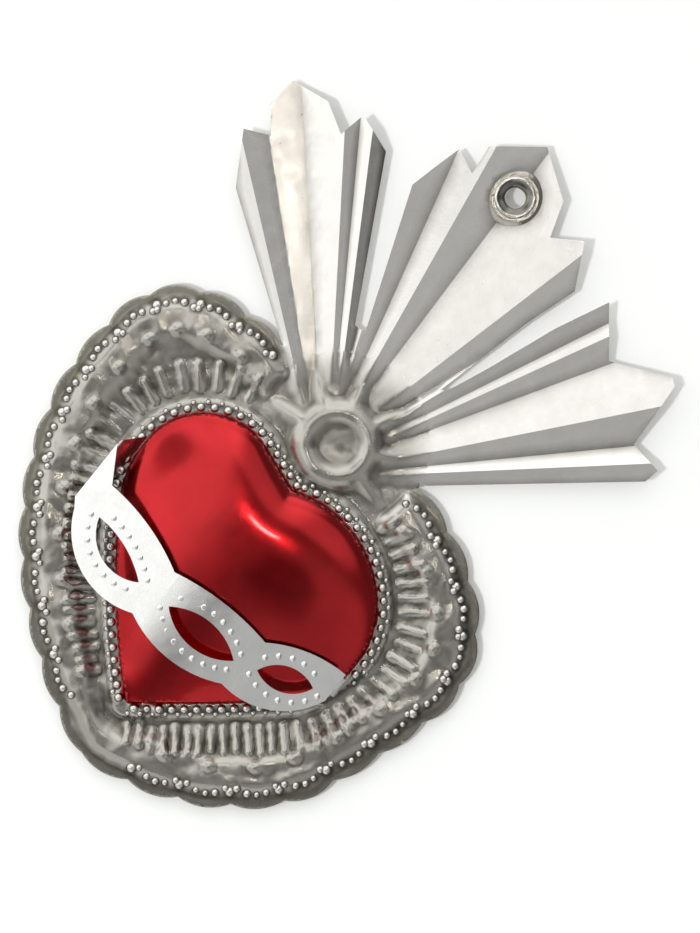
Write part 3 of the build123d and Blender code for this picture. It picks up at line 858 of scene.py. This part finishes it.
def hanging_eyelet(material):
    """The eyelet's section turned round its bore."""
    verts = []
    for i in range(EYELET_SIDES):
        a = math.tau * i / EYELET_SIDES
        verts += [(r * math.cos(a), y, r * math.sin(a)) for r, y in EYELET_PROFILE]
    rings = len(EYELET_PROFILE)
    faces = []
    for i in range(EYELET_SIDES):
        for j in range(rings):
            here = i * rings + j
            up = i * rings + (j + 1) % rings
            ahead = (i + 1) % EYELET_SIDES * rings
            faces.append((here, up, ahead + (j + 1) % rings, ahead + j))
    piece = mesh_object("eyelet_turned", verts, faces, "hanging_eyelet")
    # Painted shade in the funnel and the bore
    funnel = [FULL_PAINTED_SHADE * smoothstep(*EYELET_FUNNEL, math.hypot(x, z)) for x, _, z in verts]
    set_attribute(piece, "painted_shade", funnel)
    piece.data.materials.append(material)


# Punched dots of the crown band

def arc_points(a, b, c, count):
    """Points on the arc from one point through a second to a third, without the last."""
    ab, ac = b - a, c - a
    twice = 2 * ab.cross(ac)
    centre = a + Vector((
        ac.y * ab.length_squared - ab.y * ac.length_squared,
        ab.x * ac.length_squared - ac.x * ab.length_squared,
    )) / twice
    start = a - centre
    sweep = start.angle_signed(b - centre) + (b - centre).angle_signed(c - centre)
    return [centre + Matrix.Rotation(-sweep * i / count, 2) @ start for i in range(count)]


def band_dots(band_bm, material):
    """Round dots raised along the limbs of the crown band."""
    tree = BVHTree.FromBMesh(band_bm)
    front = min(vert.co.y for vert in band_bm.verts) + DOT_INSIDE_BOX
    verts, faces = [], []
    for corners in BAND_EYES:
        left, low, right, high = (Vector(p) for p in corners)
        eye = arc_points(left, low, right, EYE_ARC_POINTS)
        eye += arc_points(right, high, left, EYE_ARC_POINTS)
        for place in pitched(eye, DOT_PITCH, DOT_OFFSET):
            hit, normal, _, _ = tree.ray_cast(Vector((place.x, RAY_START, place.y)), RAY_WAY)
            if hit is None or normal.y > DOT_FACING:
                continue
            faces += ring_faces(len(verts), len(DOT_RINGS), DOT_SIDES)
            turn = Vector((0, -1, 0)).rotation_difference(normal)
            for radius, rise in DOT_RINGS:
                for k in range(DOT_SIDES):
                    a = math.tau * k / DOT_SIDES
                    spot = hit + turn @ Vector((radius * math.cos(a), -rise, radius * math.sin(a)))
                    verts.append((spot.x, max(spot.y, front), spot.z))
    piece = mesh_object("band_dots", verts, faces, None)
    piece.data.materials.append(material)


# Materials

# Roughness of every texture, and the noise between which clouds of tone go from dark to light
TEXTURE_ROUGHNESS = 0.6
NOISE_LOW = 0.3
NOISE_HIGH = 0.7

# Light and dark colour and roughness of each tin
PLATE_TIN = ((0.74, 0.725, 0.70), (0.68, 0.665, 0.64), 0.24)
BRIGHT_TIN = ((0.88, 0.88, 0.87), (0.80, 0.80, 0.79), 0.24)
EYELET_TIN = ((0.68, 0.68, 0.66), (0.60, 0.60, 0.58), 0.12)

# Textures of tin, each as features a metre and octaves, how far the smears lower and raise its
# roughness, and how strong and deep the grain is
TIN_CLOUDS = (160, 5)
TIN_SMEARS = (420, 4)
TIN_SMOOTHER = 0.03
TIN_ROUGHER = 0.04
TIN_GRAIN = (2600, 3)
TIN_GRAIN_STRENGTH = 0.25
TIN_GRAIN_DEPTH = 0.05 * MM

# What its colour is multiplied by under full patina and the painted shade round the eyelet, and under
# the darkest painted shade in hollows
PATINA_AND_PAINTED_SHADE_TONE = (0.42, 0.41, 0.37)
HOLLOW_PAINTED_SHADE = (0.28, 0.27, 0.24)

# Lacquer: clouds of two reds and two roughnesses, clear coat, and ripples
LACQUER_CLOUDS = (90, 4)
LACQUER_LIGHT = (0.50, 0.012, 0.016)
LACQUER_DARK = (0.38, 0.008, 0.012)
LACQUER_ROUGHNESS = (0.15, 0.21)
LACQUER_COAT = 0.35
LACQUER_COAT_ROUGHNESS = 0.06
LACQUER_RIPPLES = (55, 2)
LACQUER_RIPPLE_STRENGTH = 0.25
LACQUER_RIPPLE_DEPTH = 0.6 * MM


def new_material(name):
    material = bpy.data.materials.new(name)
    material.use_nodes = True
    tree = material.node_tree
    return material, tree, tree.nodes["Principled BSDF"]


def add(tree, kind, **values):
    """A node with its properties or, where a name starts with in_, its inputs set."""
    node = tree.nodes.new(kind)
    for key, value in values.items():
        if key.startswith("in_"):
            name = key[3:]
            node.inputs[int(name) if name.isdigit() else name].default_value = value
        else:
            setattr(node, key, value)
    return node


def noise_texture(tree, scale, detail, coordinates="Object"):
    place = add(tree, "ShaderNodeTexCoord")
    texture = add(tree, "ShaderNodeTexNoise", in_Scale=scale, in_Detail=detail)
    texture.inputs["Roughness"].default_value = TEXTURE_ROUGHNESS
    tree.links.new(place.outputs[coordinates], texture.inputs["Vector"])
    return texture.outputs["Fac"]


def ramp(tree, source, dark, light):
    """A colour that goes from dark to light where a noise goes from low to high."""
    node = add(tree, "ShaderNodeValToRGB")
    stops = ((NOISE_LOW, dark), (NOISE_HIGH, light))
    for element, (position, colour) in zip(node.color_ramp.elements, stops):
        element.position = position
        element.color = (*colour, 1)
    tree.links.new(source, node.inputs["Fac"])
    return node.outputs["Color"]


def mapped(tree, source, low, high, out_low, out_high, **values):
    node = add(tree, "ShaderNodeMapRange", in_1=low, in_2=high, in_3=out_low, in_4=out_high, **values)
    tree.links.new(source, node.inputs["Value"])
    return node.outputs["Result"]


def bumped(tree, shader, source, strength, distance):
    node = add(tree, "ShaderNodeBump", in_Strength=strength, in_Distance=distance)
    tree.links.new(source, node.inputs["Height"])
    tree.links.new(node.outputs["Normal"], shader.inputs["Normal"])


def darkened(tree, colour, attribute, full, shade):
    """A colour times a shade, by a number that the mesh has at each vertex."""
    source = add(tree, "ShaderNodeAttribute", attribute_name=attribute)
    share = mapped(tree, source.outputs["Fac"], 0.0, full, 0.0, 1.0)
    mix = add(tree, "ShaderNodeMix", data_type="RGBA", blend_type="MULTIPLY")
    tree.links.new(share, mix.inputs["Factor"])
    tree.links.new(colour, mix.inputs["A"])
    mix.inputs["B"].default_value = (*shade, 1)
    return mix.outputs["Result"]


def tin(name, light, dark, rough, with_patina_and_painted_shade):
    """Sheet tin: metal with a faint cloudy tone, brushed grain and, where chosen, patina, and painted
    shade in its hollows.
    """
    material, tree, shader = new_material(name)
    shader.inputs["Metallic"].default_value = 1.0
    colour = ramp(tree, noise_texture(tree, *TIN_CLOUDS), dark, light)
    if with_patina_and_painted_shade:
        # Patina and the painted shade round the eyelet, then painted shade in hollows
        colour = darkened(tree, colour, "patina_and_painted_shade", 1.0, PATINA_AND_PAINTED_SHADE_TONE)
        colour = darkened(tree, colour, "painted_shade", FULL_PAINTED_SHADE, HOLLOW_PAINTED_SHADE)
    tree.links.new(colour, shader.inputs["Base Color"])
    smears = noise_texture(tree, *TIN_SMEARS)
    roughness = mapped(tree, smears, NOISE_LOW, NOISE_HIGH, rough - TIN_SMOOTHER, rough + TIN_ROUGHER)
    tree.links.new(roughness, shader.inputs["Roughness"])
    bumped(tree, shader, noise_texture(tree, *TIN_GRAIN), TIN_GRAIN_STRENGTH, TIN_GRAIN_DEPTH)
    return material


def red_lacquer():
    """Clear red lacquer over bright metal."""
    material, tree, shader = new_material("red_lacquer")
    shader.inputs["Metallic"].default_value = 1.0
    shader.inputs["Coat Weight"].default_value = LACQUER_COAT
    shader.inputs["Coat Roughness"].default_value = LACQUER_COAT_ROUGHNESS
    clouds = noise_texture(tree, *LACQUER_CLOUDS)
    tree.links.new(ramp(tree, clouds, LACQUER_DARK, LACQUER_LIGHT), shader.inputs["Base Color"])
    roughness = mapped(tree, clouds, NOISE_LOW, NOISE_HIGH, *LACQUER_ROUGHNESS)
    tree.links.new(roughness, shader.inputs["Roughness"])
    ripples = noise_texture(tree, *LACQUER_RIPPLES)
    bumped(tree, shader, ripples, LACQUER_RIPPLE_STRENGTH, LACQUER_RIPPLE_DEPTH)
    return material


def backdrop(name, colour, glow, one_sided):
    """A matt pale surface that shows white to the camera and keeps the object's shadow."""
    material, tree, shader = new_material(name)
    tree.nodes.remove(shader)
    matt = add(tree, "ShaderNodeBsdfDiffuse", in_Color=(*colour, 1))
    path = add(tree, "ShaderNodeLightPath")
    seen = path.outputs["Is Camera Ray"]
    for output in ("Is Glossy Ray", "Is Transmission Ray"):
        either = add(tree, "ShaderNodeMath", operation="MAXIMUM")
        tree.links.new(seen, either.inputs[0])
        tree.links.new(path.outputs[output], either.inputs[1])
        seen = either.outputs[0]
    strength = add(tree, "ShaderNodeMath", operation="MULTIPLY", in_1=glow)
    tree.links.new(seen, strength.inputs[0])
    light = add(tree, "ShaderNodeEmission", in_Color=(1, 1, 1, 1))
    tree.links.new(strength.outputs[0], light.inputs["Strength"])
    both = add(tree, "ShaderNodeAddShader")
    tree.links.new(matt.outputs[0], both.inputs[0])
    tree.links.new(light.outputs[0], both.inputs[1])
    surface = both.outputs[0]
    if one_sided:
        side = add(tree, "ShaderNodeNewGeometry")
        clear = add(tree, "ShaderNodeBsdfTransparent")
        mix = add(tree, "ShaderNodeMixShader")
        tree.links.new(side.outputs["Backfacing"], mix.inputs[0])
        tree.links.new(surface, mix.inputs[1])
        tree.links.new(clear.outputs[0], mix.inputs[2])
        surface = mix.outputs[0]
    tree.links.new(surface, tree.nodes["Material Output"].inputs["Surface"])
    return material


# The object

def ornament():
    """Every piece and CAD node with its material."""
    tin_plate = tin("tin_plate", *PLATE_TIN, with_patina_and_painted_shade=True)
    tin_bright = tin("tin_bright", *BRIGHT_TIN, with_patina_and_painted_shade=False)
    eyelet_metal = tin("eyelet_polished", *EYELET_TIN, with_patina_and_painted_shade=True)
    lacquer = red_lacquer()
    for node, material in (
        ("back_plate", tin_plate),
        ("red_heart", lacquer),
        ("crown_band", tin_bright),
        ("hanging_eyelet", eyelet_metal),
    ):
        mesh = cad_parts[node].data
        mesh.materials.clear()
        mesh.materials.append(material)

    plate_bm = welded("back_plate")
    plate_loops = loops_of(wall_edges(plate_bm))
    hole_loop = min(plate_loops, key=lambda loop: sum(p.length for p in loop) / len(loop))
    heart_bm = welded("red_heart")
    heart_loop = loops_of(wall_edges(heart_bm))[-1]
    heart_outline = Outline(heart_loop)
    back_plate(plate_loops[-1], hole_loop, heart_loop, heart_outline, plate_bm, tin_plate)
    red_heart(heart_loop, heart_outline, lacquer)
    heart_wall(heart_bm, lacquer)
    hanging_eyelet(eyelet_metal)
    band_dots(welded("crown_band"), tin_bright)


ornament()

# Camera: straight at the front, rolled as in the photograph. From here on sizes are metres, apart
# from the camera's sensor, which Blender has in millimetres.
VIEW_CENTRE = Vector((7.6, 0, -62.57)) * MM
VIEW_HEIGHT = 186.6 * MM
CAMERA_DISTANCE = 0.75
SENSOR = 24
ROLL = math.radians(38.5)
RIGHT = Vector((math.cos(ROLL), 0, math.sin(ROLL)))
UP = Vector((-math.sin(ROLL), 0, math.cos(ROLL)))
TOWARDS = Vector((0, -1, 0))


def make_camera():
    data = bpy.data.cameras.new("camera")
    data.sensor_fit = "VERTICAL"
    data.sensor_height = SENSOR
    data.lens = SENSOR * CAMERA_DISTANCE / VIEW_HEIGHT
    camera = bpy.data.objects.new("camera", data)
    bpy.context.scene.collection.objects.link(camera)
    turn = Matrix((RIGHT, UP, TOWARDS)).transposed().to_4x4()
    camera.matrix_world = Matrix.Translation(VIEW_CENTRE + TOWARDS * CAMERA_DISTANCE) @ turn
    bpy.context.scene.camera = camera


make_camera()

# Lamps and sky: directions in the camera's axes, right, up and towards the viewer

# Direction, distance from the middle of the view, size, power in watts and colour
KEY_LAMP = ((-0.42, -0.10, 0.90), 1.1, 0.10, 5.0, (1, 1, 1))
SPOT_LAMP = ((0.08, 0.12, 1.0), 1.0, 0.042, 0.20, (1.0, 0.93, 0.84))

# The sky is this strong everywhere, and more or less round some directions: direction, its cosine
# with the sky's where the patch begins and where it is full, and strength
SKY_BASE = 0.22
SKY_PATCHES = (
    ((-0.74, 0.67, 0.0), 0.0, 0.26, 1.36),
    ((0.36, -0.42, 0.83), 0.80, 0.96, 0.38),
    ((0.55, 0.50, 0.67), 0.90, 0.97, 0.60),
    ((-0.66, -0.28, 0.70), 0.96, 0.99, -0.45),
    ((-0.40, 0.44, 0.80), 0.975, 0.995, -1.00),
    ((0.10, -0.13, 0.98), 0.985, 0.998, -0.32),
)
SKY_COLOUR = (1.0, 1.0, 0.985, 1)

# Faint clouds over the whole sky: features and octaves, and from which noise to which it is how strong
SKY_CLOUDS = (1.7, 2)
SKY_CLOUD_NOISE = (0.35, 0.65)
SKY_CLOUD_SHARE = (0.88, 1.12)

# A white wall just behind the object and a pale floor far below it, with half their width
WALL_Y = 3.2 * MM
FLOOR_Z = -1.6
STAGE_HALF = 2.0
WALL_COLOUR = (0.82, 0.83, 0.82)
WALL_GLOW = 0.02
FLOOR_COLOUR = (0.82, 0.83, 0.81)
FLOOR_GLOW = 0.15


def direction(right, up, towards):
    """A unit vector from shares of the camera's axes."""
    return (RIGHT * right + UP * up + TOWARDS * towards).normalized()


def area_lamp(name, way, distance, size, power, colour):
    data = bpy.data.lights.new(name, "AREA")
    data.energy = power
    data.size = size
    data.color = colour
    lamp = bpy.data.objects.new(name, data)
    bpy.context.scene.collection.objects.link(lamp)
    lamp.location = VIEW_CENTRE + direction(*way) * distance
    lamp.rotation_euler = direction(*way).to_track_quat("Z", "Y").to_euler()
    return lamp


def stage_plane(name, corners, material):
    mesh = bpy.data.meshes.new(name)
    mesh.from_pydata(corners, [], [(0, 1, 2, 3)])
    obj = bpy.data.objects.new(name, mesh)
    bpy.context.scene.collection.objects.link(obj)
    mesh.materials.append(material)
    return obj


def studio():
    """The wall, which only the camera sees and only from the front, and the floor."""
    half = STAGE_HALF
    wall = stage_plane(
        "backdrop_wall",
        [(-half, WALL_Y, FLOOR_Z), (half, WALL_Y, FLOOR_Z), (half, WALL_Y, half), (-half, WALL_Y, half)],
        backdrop("backdrop_white", WALL_COLOUR, WALL_GLOW, True),
    )
    for ray in ("diffuse", "glossy", "transmission", "shadow"):
        setattr(wall, "visible_" + ray, False)
    stage_plane(
        "floor",
        [(-half, -half, FLOOR_Z), (half, -half, FLOOR_Z), (half, half, FLOOR_Z), (-half, half, FLOOR_Z)],
        backdrop("floor_white", FLOOR_COLOUR, FLOOR_GLOW, False),
    )


def sky_patch(tree, way, low, high):
    """1 where the sky lies along a direction, and 0 away from it."""
    place = add(tree, "ShaderNodeTexCoord")
    dot = add(tree, "ShaderNodeVectorMath", operation="DOT_PRODUCT")
    dot.inputs[1].default_value = direction(*way)
    tree.links.new(place.outputs["Generated"], dot.inputs[0])
    return mapped(tree, dot.outputs["Value"], low, high, 0, 1, interpolation_type="SMOOTHSTEP")


def sky():
    """Soft light all round, brightest from the upper left, with two bright and three darker patches."""
    world = bpy.data.worlds.new("studio")
    bpy.context.scene.world = world
    world.use_nodes = True
    tree = world.node_tree
    total = None
    for way, low, high, strength in SKY_PATCHES:
        node = add(tree, "ShaderNodeMath", operation="MULTIPLY_ADD", in_1=strength, in_2=SKY_BASE)
        tree.links.new(sky_patch(tree, way, low, high), node.inputs[0])
        if total is not None:
            tree.links.new(total, node.inputs[2])
        total = node.outputs[0]
    clouds = noise_texture(tree, *SKY_CLOUDS, "Generated")
    cloudy = add(tree, "ShaderNodeMath", operation="MULTIPLY")
    tree.links.new(total, cloudy.inputs[0])
    tree.links.new(mapped(tree, clouds, *SKY_CLOUD_NOISE, *SKY_CLOUD_SHARE), cloudy.inputs[1])
    background = tree.nodes["Background"]
    tree.links.new(cloudy.outputs[0], background.inputs["Strength"])
    background.inputs["Color"].default_value = SKY_COLOUR


# The key lamp casts the shadow on the wall. The metal mirrors the sky and the spot, and not this lamp.
key = area_lamp("key", *KEY_LAMP)
key.visible_glossy = False
area_lamp("spot", *SPOT_LAMP)
studio()
sky()
bpy.context.scene.view_settings.view_transform = "Standard"
